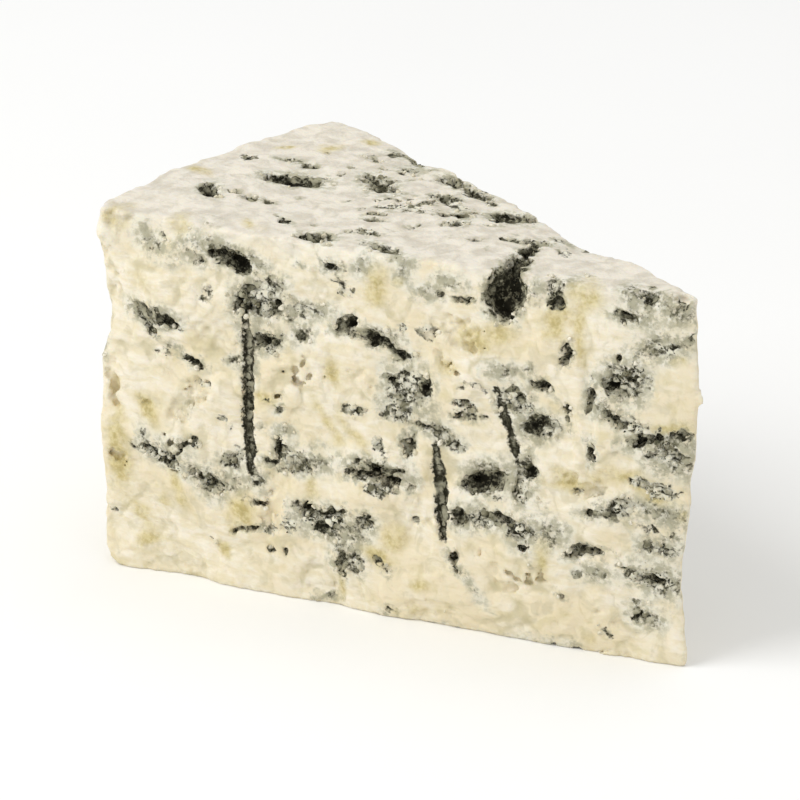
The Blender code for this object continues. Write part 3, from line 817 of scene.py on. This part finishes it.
def distances(face, pattern, points, shift, fray, crumbs, depth_scale=1.0):
    """Distances from points near a face to its marks of each kind.

    The openings follow the crumbs that the curd breaks into, so their outlines are angular.
    A small depth scale measures along the face instead, which suits the paint of carved walls.
    """
    scale = np.array([1, 1, depth_scale], np.float32)
    place = local_place(face, points + shift) * scale
    straight = local_place(face, points + CHANNEL_SHIFT * shift) * scale
    openings = {"hollow": pattern.hollows, "grain": pattern.grains, "chip": pattern.chips}
    openings["core"] = dark_cores(pattern.hollows)
    found = {key: marks_distance(place, face_marks) for key, face_marks in openings.items()}
    found["channel"] = channels_distance(straight, pattern.channels)
    close = np.flatnonzero(np.minimum.reduce(list(found.values())) < CRUMB_REACH)
    crumb = crumbs.look(points[close])
    way = CRUMB_SNAP * crumb.way
    snapped = local_place(face, points[close] + shift[close] + way) * scale
    uneven = CRUMB_STEP * (crumb.shade - 0.5) + fray[close]
    for key, face_marks in openings.items():
        found[key][close] = marks_distance(snapped, face_marks) + uneven
    snapped = local_place(face, points[close] + CHANNEL_SHIFT * (shift[close] + way)) * scale
    found["channel"][close] = channels_distance(snapped, pattern.channels) + 0.7 * uneven
    found["smear"] = marks_distance(place, pattern.smears) + fray
    found["yellow"] = marks_distance(place, pattern.yellows) + fray
    return found


# ---------------------------------------------------------------- the distance field
def face_fields(grid):
    """Distance above each face of the plain wedge, over the whole grid."""
    x, y, z = np.meshgrid(*[axis.astype(np.float32) for axis in grid.axes], indexing="ij")
    offset_x = x - np.float32(TIP_X)
    reach = np.hypot(offset_x, y)
    lean = tip_lean(reach, z).astype(np.float32)
    fields = {}
    for face in (FRONT, BACK):
        right = (offset_x - lean) * face.right[0] + y * face.right[1]
        out = (offset_x - lean) * face.outward[0] + y * face.outward[1]
        fields[face.name] = out - bow(np.abs(right), face.name).astype(np.float32)
    inset = np.clip(BASE_ROUNDING - grid.axes[2], 0, BASE_ROUNDING)
    inset = BASE_ROUNDING - np.sqrt(BASE_ROUNDING**2 - inset**2)
    fields["rind"] = reach - WHEEL_RADIUS + inset.astype(np.float32)[None, None, :]
    fields["top"] = z - np.float32(HEIGHT)
    fields["base"] = -z
    return fields, reach


def join_faces(fields):
    """One distance for the whole wedge, with its edges a little rounded."""
    rim = smooth_max(fields["rind"], fields["top"], TOP_RIND_EDGE)
    cuts = smooth_max(fields["front"], fields["back"], CUT_EDGE)
    sides = smooth_max(cuts, fields["rind"], RIND_EDGE)
    capped = smooth_max(smooth_max(sides, fields["top"], TOP_EDGE), rim, CUT_EDGE)
    return smooth_max(capped, fields["base"], FOOT_EDGE)


def add_relief(fields, reach, grid):
    """Makes each face uneven in its own way, apart from the base, and returns the creases."""
    broad = grid.noise(11.0, SEED + 10)
    middle = grid.noise(4.2, SEED + 11)
    small = grid.noise(1.9, SEED + 12)
    fine = grid.noise(0.9, SEED + 13)
    ledges = 1.5 * grid.noise(7.5, SEED + 14) + 0.3 * middle
    ledges = np.floor(ledges) + smoothstep(0.36, 0.54, ledges - np.floor(ledges))
    creases = np.exp(-5 * np.abs(grid.noise(5.6, SEED + 15) + 0.25 * small))
    creases += 0.8 * np.exp(-4 * np.abs(grid.noise(3.0, SEED + 16) + 0.3 * fine))
    calm = 0.2 + 0.8 * smoothstep(*TIP_CALM, reach)
    cut = calm * (0.18 * broad + 0.16 * middle + 0.34 * ledges + 0.27 * creases)
    cut += 0.09 * small + 0.04 * fine
    fields["front"] = fields["front"] + cut
    fields["back"] = fields["back"] + BACK_CALM * cut
    rough = 0.06 * middle + 0.05 * small + 0.03 * fine + 0.12 * creases
    fields["top"] = fields["top"] + 0.08 * broad + rough + 0.10 * ledges
    fields["rind"] = fields["rind"] + 0.16 * broad + 2 * rough
    return creases


def near_points(grid, field, low, high):
    """Indices and places of the grid points whose field lies between two values."""
    index = np.flatnonzero((field.ravel() > low) & (field.ravel() < high))
    cell = np.stack(np.unravel_index(index, field.shape), 1)
    return index, (grid.low + cell * grid.step).astype(np.float32)


def outline_noise(grid):
    """Noise volumes that make the marks' outlines irregular."""
    warp = []
    for axis in range(3):
        broad = grid.noise(3.6, SEED + 20 + axis)
        warp.append(0.28 * broad + 0.17 * grid.noise(1.5, SEED + 23 + axis))
    return warp, 0.13 * grid.noise(0.8, SEED + 26)


def carve(field, fields, grid, patterns, noise_volumes, crumbs):
    """Cuts the hollows, channels and chips into the field, and breaks up the grainy curd."""
    warp, fray = noise_volumes
    cuts = {key: np.full(field.size, FAR, np.float32) for key in ("hollow", "chip", "grain")}
    outside = np.where(field < REACH_OUT, 0, 100).astype(np.float32)
    for face in FACES:
        index, points = near_points(grid, fields[face.name] + outside, -REACH_IN, REACH_OUT)
        shift = np.stack([volume.ravel()[index] for volume in warp], 1)
        found = distances(face, patterns[face.name], points, shift, fray.ravel()[index], crumbs)
        found["hollow"] = np.minimum(found["hollow"], found["channel"])
        for key, cut in cuts.items():
            cut[index] = np.minimum(cut[index], found[key])
    field = smooth_max(field, -cuts["hollow"].reshape(field.shape), 0.3)
    field = smooth_max(field, -cuts["chip"].reshape(field.shape), 0.5)

    grain = cuts["grain"].reshape(field.shape)
    index, points = near_points(grid, np.where(grain < 0.3, field, FAR), -1.6, 1.0)
    crumb = crumbs.look(points)
    gap = smoothstep(0.02, 0.35, crumb.second - crumb.nearest)
    inside = smoothstep(0.3, -0.4, grain.ravel()[index])
    field = field.ravel()
    field[index] += inside * (0.45 - 0.6 * gap + 0.3 * crumb.nearest + 0.6 * (crumb.shade - 0.5))
    return field.reshape(grain.shape)


def largest_part(points, polygons):
    """The polygons of the part of a mesh that has the most points."""
    label = np.arange(len(points))
    a = polygons.ravel()
    b = np.roll(polygons, 1, axis=1).ravel()
    while True:
        low = np.minimum(label[a], label[b])
        before = label.copy()
        np.minimum.at(label, label[a], low)
        np.minimum.at(label, label[b], low)
        label = label[label[label]]
        if np.array_equal(before, label):
            break
    return polygons[label[polygons[:, 0]] == np.bincount(label).argmax()]


def surface_mesh(field, grid):
    """Meshes the field's zero level and keeps its largest piece."""
    volume = openvdb.FloatGrid(FAR)
    volume.copyFromArray(np.ascontiguousarray(np.clip(field, -FAR, FAR), dtype=np.float32))
    points, triangles, quads = volume.convertToPolygons(isovalue=0.0, adaptivity=0.0)
    points = grid.low + points * grid.step
    quads = largest_part(points, quads[:, ::-1].astype(np.int64))
    mesh = bpy.data.meshes.new("cheese_body")
    used, quads = np.unique(quads, return_inverse=True)
    mesh.from_pydata(points[used] * MM, [], quads.reshape(-1, 4).tolist())
    return mesh


def thin(mesh, budget):
    """Decimates a mesh to a number of triangles."""
    obj = bpy.data.objects.new("thinning", mesh)
    bpy.context.scene.collection.objects.link(obj)
    triangles = sum(len(p.vertices) - 2 for p in mesh.polygons)
    modifier = obj.modifiers.new("thin", "DECIMATE")
    modifier.ratio = min(1.0, budget / triangles)
    depsgraph = bpy.context.evaluated_depsgraph_get()
    result = bpy.data.meshes.new_from_object(obj.evaluated_get(depsgraph))
    bpy.data.objects.remove(obj)
    print("thinned", triangles, "to", sum(len(p.vertices) - 2 for p in result.polygons))
    return result


# ---------------------------------------------------------------- paint: attributes of the mesh
def vertex_places(mesh):
    places = np.empty(len(mesh.vertices) * 3, np.float32)
    mesh.vertices.foreach_get("co", places)
    return places.reshape(-1, 3) / MM


def add_paint(mesh, name, values):
    attribute = mesh.attributes.new(name, "FLOAT", "POINT")
    attribute.data.foreach_set("value", np.ascontiguousarray(values, np.float32))


def plain_distances(points):
    """Distance above each plain face, at scattered points."""
    return {face.name: -local_place(face, points)[:, 2] for face in FACES}


OPPOSITE = {"front": "back", "back": "front"}
PAINTED = ("hollow", "core", "smear", "grain", "yellow", "channel")


def paint(mesh, grid, patterns, noise_volumes, crumbs, creases):
    """Writes what the material needs at each vertex."""
    warp, fray = noise_volumes
    points = vertex_places(mesh)
    shift = np.stack([grid.sample(volume, points) for volume in warp], 1)
    frayed = grid.sample(fray, points)
    above = plain_distances(points)
    marked = {key: np.full(len(points), FAR, np.float32) for key in PAINTED}
    for face in FACES:
        own_side = above[face.name] >= above[OPPOSITE.get(face.name, face.name)]
        near = np.flatnonzero((above[face.name] > -REACH_IN) & own_side)
        pattern = patterns[face.name]
        nearby = (points[near], shift[near], frayed[near])
        depth_scale = PAINT_DEPTH_SCALE if face in (FRONT, BACK, TOP) else 1.0
        found = distances(face, pattern, *nearby, crumbs, depth_scale)
        for key, values in marked.items():
            values[near] = np.minimum(values[near], found[key])
    for key, distance in marked.items():
        add_paint(mesh, key, np.clip(0.5 - distance / (2 * PAINT_RANGE), 0, 1))
    # How near each vertex lies to a crease of the relief, for the painted shade there
    add_paint(mesh, "crease_shade", grid.sample(creases, points))
    crumb = crumbs.look(points)
    add_paint(mesh, "seam", 1 - smoothstep(0.03, 0.35, crumb.second - crumb.nearest))
    add_paint(mesh, "shade", crumb.shade)
    cuts = np.maximum(above["front"], above["back"])
    stray = 1.6 * shift[:, 0] + 1.6 * shift[:, 1]
    rind = above["rind"] + TOP_RIND_EDGE * 0.35
    add_paint(mesh, "top", smoothstep(-2.2, 0.8, above["top"] - np.maximum(cuts, rind) + stray))
    add_paint(mesh, "lip", smoothstep(-6.0, 0.0, above["top"] + 2 * stray))
    crust = np.maximum(above["rind"], above["base"])
    add_paint(mesh, "rind", smoothstep(-1.2, 1.2, crust - np.maximum(cuts, above["top"])))


def chart_faces(mesh):
    """Lays each face of the wedge out flat, at scale, in one UV map."""
    points = vertex_places(mesh)
    above = plain_distances(points)
    stack = np.stack([above[face.name] for face in FACES], 1)
    loop_vertex = np.empty(len(mesh.loops), np.int32)
    mesh.loops.foreach_get("vertex_index", loop_vertex)
    starts = np.empty(len(mesh.polygons), np.int32)
    totals = np.empty(len(mesh.polygons), np.int32)
    mesh.polygons.foreach_get("loop_start", starts)
    mesh.polygons.foreach_get("loop_total", totals)
    sums = np.add.reduceat(stack[loop_vertex], starts, axis=0)
    choice = np.repeat(np.argmax(sums, 1), totals)
    uv = np.empty((len(mesh.loops), 2), np.float32)
    for i, face in enumerate(FACES):
        place = local_place(face, points)
        left, foot, scale = CHART_PLACES[face.name]
        loops = np.flatnonzero(choice == i)
        uv[loops] = (np.array([left, foot]) + place[loop_vertex[loops], :2] * scale) / CHART_SIDE
    layer = mesh.uv_layers.new(name="OFBake")
    layer.data.foreach_set("uv", uv.ravel())


# ---------------------------------------------------------------- loose bits
# Many small lumps in one piece: how many, their half size in millimetres, the share of that
# size they stand proud, how rough they are, and the detail of each
Bits = namedtuple("Bits", "count size proud rough detail")
FLECKS = Bits(520, (0.20, 0.58), 0.0, 0.16, 2)
TUFTS = Bits(5200, (0.10, 0.26), 0.3, 0.22, 1)
BITS_CLEAR = 2.0


def read_paint(mesh, name):
    values = np.empty(len(mesh.vertices), np.float32)
    mesh.attributes[name].data.foreach_get("value", values)
    return values


def bit_weights(mesh):
    """How likely each vertex is to carry a fleck of curd, and a tuft of mould."""
    places = vertex_places(mesh)
    clear = (places[:, 2] > BITS_CLEAR) & (places[:, 0] < TIP_X - BITS_CLEAR)
    cut = clear * (1 - read_paint(mesh, "rind"))
    open_curd = np.maximum(read_paint(mesh, "grain"), read_paint(mesh, "hollow"))
    open_curd *= read_paint(mesh, "channel") < 0.45
    beside = np.exp(-(((np.maximum(open_curd, read_paint(mesh, "smear")) - 0.42) / 0.10) ** 2))
    flecks = cut * (beside + 0.005)
    tufts = cut * smoothstep(0.46, 0.60, open_curd)
    return flecks, tufts


def lump_shape(detail):
    ball = bmesh.new()
    bmesh.ops.create_icosphere(ball, subdivisions=detail, radius=1)
    points = np.array([vertex.co for vertex in ball.verts], np.float32)
    faces = np.array([[vertex.index for vertex in face.verts] for face in ball.faces])
    ball.free()
    return points, faces


def add_bits(name, bits, cheese, weights, material, seed):
    """Scatters irregular lumps over the cheese, all in one piece."""
    rng = np.random.default_rng(seed)
    chosen = rng.choice(len(weights), bits.count, replace=False, p=weights / weights.sum())
    places = vertex_places(cheese)[chosen]
    outward = np.empty(len(weights) * 3, np.float32)
    cheese.vertex_normals.foreach_get("vector", outward)
    outward = outward.reshape(-1, 3)[chosen]
    ball, faces = lump_shape(bits.detail)
    size = rng.uniform(*bits.size, (bits.count, 1, 1))
    shapes = ball * size * rng.uniform(0.5, 1.1, (bits.count, 1, 3))
    shapes *= 1 + bits.rough * rng.standard_normal((bits.count, len(ball), 1))
    turns = np.linalg.qr(rng.standard_normal((bits.count, 3, 3)))[0]
    turns *= np.linalg.det(turns)[:, None, None]
    points = shapes @ turns + (places + bits.proud * size[:, :, 0] * outward)[:, None]
    starts = np.arange(bits.count)[:, None, None] * len(ball)
    mesh = bpy.data.meshes.new(name)
    polygons = (faces + starts).reshape(-1, 3).tolist()
    mesh.from_pydata(points.reshape(-1, 3) * MM, [], polygons)
    chart_faces(mesh)
    mesh.shade_smooth()
    place_piece(name, mesh, material)


# ---------------------------------------------------------------- materials
def srgb(red, green, blue):
    """A colour given as 0 to 255 in sRGB, as the linear colour that shaders use."""
    linear = []
    for value in (red, green, blue):
        value /= 255
        linear.append(value / 12.92 if value <= 0.04045 else ((value + 0.055) / 1.055) ** 2.4)
    return (*linear, 1.0)


class Nodes:
    """Short names for the nodes that a procedural material is wired from."""

    def __init__(self, name):
        self.material = bpy.data.materials.new(name)
        self.material.use_nodes = True
        self.tree = self.material.node_tree
        self.shader = self.tree.nodes["Principled BSDF"]

    def add(self, kind, **settings):
        node = self.tree.nodes.new(kind)
        for key, value in settings.items():
            setattr(node, key, value)
        return node

    def wire(self, socket, value):
        if isinstance(value, bpy.types.NodeSocket):
            self.tree.links.new(value, socket)
        elif value is not None:
            socket.default_value = value

    def paint(self, name):
        return self.add("ShaderNodeAttribute", attribute_name=name).outputs["Fac"]

    def place(self):
        return self.add("ShaderNodeTexCoord").outputs["Object"]

    def math(self, operation, a, b=None, c=None, clamp=False):
        node = self.add("ShaderNodeMath", operation=operation, use_clamp=clamp)
        for socket, value in zip(node.inputs, (a, b, c)):
            self.wire(socket, value)
        return node.outputs[0]

    def layers(self):
        """The place, squeezed upwards, so that noise lies in flat layers."""
        node = self.add("ShaderNodeVectorMath", operation="MULTIPLY")
        self.wire(node.inputs[0], self.place())
        node.inputs[1].default_value = (0.6, 0.6, 1.6)
        return node.outputs["Vector"]

    def noise(self, per_mm, detail=3.0, roughness=0.55, distortion=0.0, vector=None):
        node = self.add("ShaderNodeTexNoise")
        self.wire(node.inputs["Vector"], vector or self.place())
        node.inputs["Scale"].default_value = per_mm / MM
        node.inputs["Detail"].default_value = detail
        node.inputs["Roughness"].default_value = roughness
        node.inputs["Distortion"].default_value = distortion
        return node.outputs["Fac"]

    def step(self, value, low, high, bottom=0.0, top=1.0):
        """A smooth step from bottom to top as the value goes from low to high."""
        node = self.add("ShaderNodeMapRange", interpolation_type="SMOOTHSTEP")
        settings = (value, low, high, bottom, top)
        for socket, setting in zip(node.inputs, settings):
            self.wire(socket, setting)
        return node.outputs["Result"]

    def mix(self, factor, a, b, blend="MIX"):
        node = self.add("ShaderNodeMix", data_type="RGBA", blend_type=blend)
        self.wire(node.inputs["Factor"], factor)
        self.wire(node.inputs[6], a)
        self.wire(node.inputs[7], b)
        return node.outputs[2]

    def bump(self, height, distance, strength=1.0, normal=None):
        node = self.add("ShaderNodeBump")
        self.wire(node.inputs["Height"], height)
        self.wire(node.inputs["Normal"], normal)
        node.inputs["Distance"].default_value = distance * MM
        node.inputs["Strength"].default_value = strength
        return node.outputs["Normal"]


def cheese_material():
    n = Nodes("blue_cheese_paste")
    broad = n.noise(0.09, 3)
    middle = n.noise(0.32, 4)
    blotch = n.noise(0.8, 3)
    fine = n.noise(1.3, 4)
    streak = n.noise(0.5, 4, 0.6, 0.4, n.layers())
    grit = n.math("SUBTRACT", n.noise(1.9, 4, 0.6), 0.5)

    def outline(name, wobble, low, high):
        """A mark's painted distance, frayed by noise finer than the mesh."""
        frayed = n.math("MULTIPLY_ADD", grit, wobble, n.paint(name))
        return n.step(frayed, low, high)

    def part(*factors):
        """The product of several factors."""
        product = factors[0]
        for factor in factors[1:]:
            product = n.math("MULTIPLY", product, factor)
        return product

    # Paste: ivory, creamier in broad zones, duller in patches, with painted shade in the creases of the
    # relief, greyer on the top
    paste = n.mix(n.step(streak, 0.34, 0.66), srgb(232, 221, 191), srgb(242, 234, 215))
    paste = n.mix(part(n.step(broad, 0.45, 0.62), 0.8), paste, srgb(233, 220, 188))
    oily = part(n.step(n.noise(0.40, 2, 0.5, 0.6), 0.50, 0.70), n.step(broad, 0.36, 0.60), 0.5)
    paste = n.mix(oily, paste, srgb(212, 200, 156))
    dull = part(n.step(n.noise(0.26, 3, 0.6, 0.8), 0.53, 0.66), 0.4)
    paste = n.mix(dull, paste, srgb(199, 190, 158))
    rind = n.mix(n.step(fine, 0.4, 0.65), srgb(226, 213, 180), srgb(238, 230, 206))
    paste = n.mix(n.paint("rind"), paste, rind)
    # Painted shade: a darker olive tint where the relief creases
    paste = n.mix(part(n.step(n.paint("crease_shade"), 0.45, 1.20), 0.6), paste, srgb(194, 184, 146))
    lip = part(n.paint("lip"), n.step(middle, 0.30, 0.60, 0.3, 0.8))
    paste = n.mix(lip, paste, srgb(241, 236, 220))
    top = n.mix(n.step(streak, 0.35, 0.62), srgb(208, 200, 184), srgb(234, 227, 212))
    paste = n.mix(part(n.paint("top"), 0.9), paste, top)

    # White curd and a grey-green haze round the mould
    pale = n.math("MAXIMUM", outline("smear", 0.3, 0.04, 0.46), outline("core", 0.3, 0.05, 0.40))
    paste = n.mix(part(pale, n.step(middle, 0.38, 0.60, 0.2, 0.75)), paste, srgb(237, 234, 219))
    haze = n.math("MAXIMUM", outline("smear", 0.5, 0.08, 0.55), outline("hollow", 0.5, 0.16, 0.50))
    paste = n.mix(part(haze, n.step(blotch, 0.40, 0.62, 0.1, 0.85)), paste, srgb(170, 166, 140))

    butter = part(outline("yellow", 0.2, 0.24, 0.78), n.step(middle, 0.34, 0.56, 0.4, 0.9))
    yellow = n.mix(n.step(fine, 0.38, 0.62), srgb(217, 203, 150), srgb(192, 175, 114))
    colour = n.mix(butter, paste, yellow)
    olive = part(outline("yellow", 0.3, 0.62, 0.96), n.step(middle, 0.40, 0.58), 0.5)
    colour = n.mix(olive, colour, srgb(150, 136, 84))

    # Mould: soft grey smears, shards of curd outlined in black, lined hollows and channels, with painted
    # shade deep in the hollows and along the channels' walls
    mould = n.mix(n.step(blotch, 0.38, 0.64), srgb(92, 90, 70), srgb(174, 170, 147))
    smear = part(outline("smear", 0.7, 0.46, 0.72), n.step(fine, 0.38, 0.58, 0.2, 1.0))
    colour = n.mix(smear, colour, mould)

    grain = outline("grain", 0.35, 0.44, 0.62)
    tone = n.math("MULTIPLY_ADD", n.paint("shade"), 0.6, part(blotch, 0.8))
    curd = n.mix(n.step(tone, 0.40, 0.80), srgb(118, 115, 93), srgb(226, 222, 203))
    crack = n.math("MULTIPLY_ADD", grit, 1.2, n.paint("seam"))
    black = srgb(36, 34, 21)
    curd = n.mix(part(n.step(crack, 0.50, 1.00), n.step(streak, 0.36, 0.52)), curd, black)
    curd = n.mix(part(n.step(fine, 0.56, 0.66), n.step(streak, 0.50, 0.58)), curd, srgb(48, 46, 31))
    colour = n.mix(part(grain, n.step(middle, 0.30, 0.50, 0.3, 1.0)), colour, curd)

    hollow = outline("hollow", 0.3, 0.43, 0.58)
    lining = n.mix(n.step(blotch, 0.34, 0.60), srgb(72, 70, 52), srgb(168, 164, 140))
    lining = n.mix(n.step(crack, 0.60, 1.1), lining, black)
    colour = n.mix(hollow, colour, lining)
    # Painted shade: the deep core of each hollow, where light does not reach, near-black with grey
    # flecks
    core = outline("core", 0.4, 0.45, 0.67)
    fleck = part(n.step(fine, 0.52, 0.64), n.step(middle, 0.44, 0.56))
    colour = n.mix(core, colour, n.mix(fleck, srgb(27, 25, 14), srgb(118, 114, 94)))

    groove = outline("channel", 0.4, 0.44, 0.56)
    tone = n.math("MULTIPLY_ADD", n.paint("shade"), 0.5, part(blotch, 1.0))
    inside = n.mix(n.step(tone, 0.42, 0.90), srgb(56, 54, 38), srgb(172, 168, 145))
    inside = n.mix(n.step(crack, 0.60, 1.0), inside, black)
    # Painted shade: black along the groove's walls, broken by noise
    rim = n.math("MULTIPLY_ADD", grit, 0.4, n.paint("channel"))
    wall_shade = part(n.step(rim, 0.58, 0.74, 0.95, 0.0), n.step(middle, 0.32, 0.46))
    inside = n.mix(wall_shade, inside, black)
    colour = n.mix(groove, colour, inside)
    dusty = n.math("MAXIMUM", n.math("MAXIMUM", hollow, grain), n.math("MAXIMUM", smear, groove))

    n.wire(n.shader.inputs["Base Color"], colour)
    n.wire(n.shader.inputs["Roughness"], n.step(dusty, 0.0, 0.8, 0.5, 0.95))
    n.shader.inputs["Specular IOR Level"].default_value = 0.2
    n.shader.inputs["Subsurface Weight"].default_value = 0.2
    n.shader.inputs["Subsurface Radius"].default_value = (1.0, 0.75, 0.45)
    n.shader.inputs["Subsurface Scale"].default_value = 1.0 * MM
    relief = n.math("MULTIPLY_ADD", blotch, 0.6, n.math("MULTIPLY_ADD", streak, 0.5, part(fine, 0.2)))
    n.wire(n.shader.inputs["Normal"], n.bump(relief, 0.5, 0.8))
    return n.material


def fleck_material():
    """Crumbs of clean curd."""
    n = Nodes("curd_flecks")
    shade = n.mix(n.step(n.noise(0.6, 3), 0.35, 0.65), srgb(224, 215, 187), srgb(240, 234, 216))
    shade = n.mix(n.step(n.noise(1.8, 3), 0.48, 0.62, 0.0, 0.7), shade, srgb(178, 173, 150))
    n.wire(n.shader.inputs["Base Color"], shade)
    n.wire(n.shader.inputs["Roughness"], n.step(n.noise(1.0, 2), 0.3, 0.7, 0.5, 0.7))
    n.shader.inputs["Specular IOR Level"].default_value = 0.2
    n.wire(n.shader.inputs["Normal"], n.bump(n.noise(2.0, 3), 0.2, 0.8))
    return n.material


def tuft_material():
    """Tufts of blue-green mould."""
    n = Nodes("mould_tufts")
    shade = n.mix(n.step(n.noise(0.9, 3), 0.40, 0.62), srgb(60, 58, 43), srgb(140, 137, 115))
    shade = n.mix(n.step(n.noise(2.4, 3), 0.50, 0.62), shade, srgb(72, 74, 60))
    n.wire(n.shader.inputs["Base Color"], shade)
    n.wire(n.shader.inputs["Roughness"], n.step(n.noise(1.5, 2), 0.3, 0.7, 0.9, 1.0))
    n.shader.inputs["Specular IOR Level"].default_value = 0.1
    n.wire(n.shader.inputs["Normal"], n.bump(n.noise(4.0, 3), 0.1, 0.8))
    return n.material


# ---------------------------------------------------------------- stage, lights and camera
def add_camera():
    right = Vector((math.cos(VIEW_AZIMUTH), math.sin(VIEW_AZIMUTH), 0))
    away = Vector((-math.sin(VIEW_AZIMUTH), math.cos(VIEW_AZIMUTH), 0))
    up = Vector((0, 0, 1))
    tip = Vector((TIP_X * MM, 0, LOW.z))
    target = tip - right * TIP_IN_VIEW[0] - away * TIP_IN_VIEW[1] - up * TIP_IN_VIEW[2]
    back = up * math.sin(VIEW_ELEVATION) - away * math.cos(VIEW_ELEVATION)
    data = bpy.data.cameras.new("camera")
    data.lens = LENS
    data.sensor_width = SENSOR
    data.clip_end = 20
    camera = bpy.data.objects.new("camera", data)
    camera.location = target + back * VIEW_DISTANCE
    camera.rotation_euler = back.to_track_quat("Z", "Y").to_euler()
    bpy.context.scene.collection.objects.link(camera)
    bpy.context.scene.camera = camera


def add_softbox(light, aim=(0, 0, 0.03)):
    data = bpy.data.lights.new(light.name, "AREA")
    data.shape = "SQUARE"
    data.size = light.size
    data.energy = light.power
    lamp = bpy.data.objects.new(light.name, data)
    lamp.location = light.place
    lamp.rotation_euler = (Vector(light.place) - Vector(aim)).to_track_quat("Z", "Y").to_euler()
    bpy.context.scene.collection.objects.link(lamp)


def add_floor():
    mesh = bpy.data.meshes.new("floor")
    side, drop = 3.0, 0.00005
    corners = [(-side, -side, -drop), (side, -side, -drop), (side, side, -drop), (-side, side, -drop)]
    mesh.from_pydata(corners, [], [(0, 1, 2, 3)])
    floor = bpy.data.objects.new("floor", mesh)
    bpy.context.scene.collection.objects.link(floor)
    n = Nodes("floor")
    shade = n.mix(n.noise(0.01, 2), srgb(250, 250, 248), srgb(253, 253, 252))
    n.wire(n.shader.inputs["Base Color"], shade)
    n.shader.inputs["Roughness"].default_value = 0.9
    n.shader.inputs["Specular IOR Level"].default_value = 0.1
    mesh.materials.append(n.material)
    floor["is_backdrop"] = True


def add_stage():
    add_floor()
    world = bpy.data.worlds.new("studio")
    world.use_nodes = True
    world.node_tree.nodes["Background"].inputs["Color"].default_value = (1, 1, 1, 1)
    world.node_tree.nodes["Background"].inputs["Strength"].default_value = SKY
    bpy.context.scene.world = world
    for light in LIGHTS:
        add_softbox(light)
    bpy.context.scene.view_settings.view_transform = "Standard"


# ---------------------------------------------------------------- build
def place_piece(name, mesh, material):
    mesh.materials.clear()
    mesh.materials.append(material)
    piece = bpy.data.objects.new(name, mesh)
    bpy.context.scene.collection.objects.link(piece)
    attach(piece, "root")
    return piece


def build_cheese(material):
    step = STEP
    low = (LOW.x / MM - MARGIN, LOW.y / MM - MARGIN, -MARGIN)
    high = (HIGH.x / MM + MARGIN, HIGH.y / MM + MARGIN, HEIGHT + MARGIN)
    grid = Grid(low, high, step)
    crumbs = Crumbs(low, high, CRUMB_SIZE, SEED + 30)
    patterns = all_patterns()
    fields, reach = face_fields(grid)
    creases = add_relief(fields, reach, grid)
    noise_volumes = outline_noise(grid)
    field = carve(join_faces(fields), fields, grid, patterns, noise_volumes, crumbs)
    mesh = thin(surface_mesh(field, grid), SURFACE_BUDGET)
    mesh.name = "cheese"
    paint(mesh, grid, patterns, noise_volumes, crumbs, creases)
    chart_faces(mesh)
    mesh.shade_smooth()
    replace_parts(place_piece("cheese", mesh, material), "cheese_wedge")
    return mesh


add_camera()
add_stage()
body = build_cheese(cheese_material())
fleck_weights, tuft_weights = bit_weights(body)
add_bits("curd_flecks", FLECKS, body, fleck_weights, fleck_material(), SEED + 40)
add_bits("mould_tufts", TUFTS, body, tuft_weights, tuft_material(), SEED + 41)

boxes = {"cad": CAD_BOX, "visual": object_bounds()}
boxes = {key: [list(corner) for corner in box] for key, box in boxes.items()}
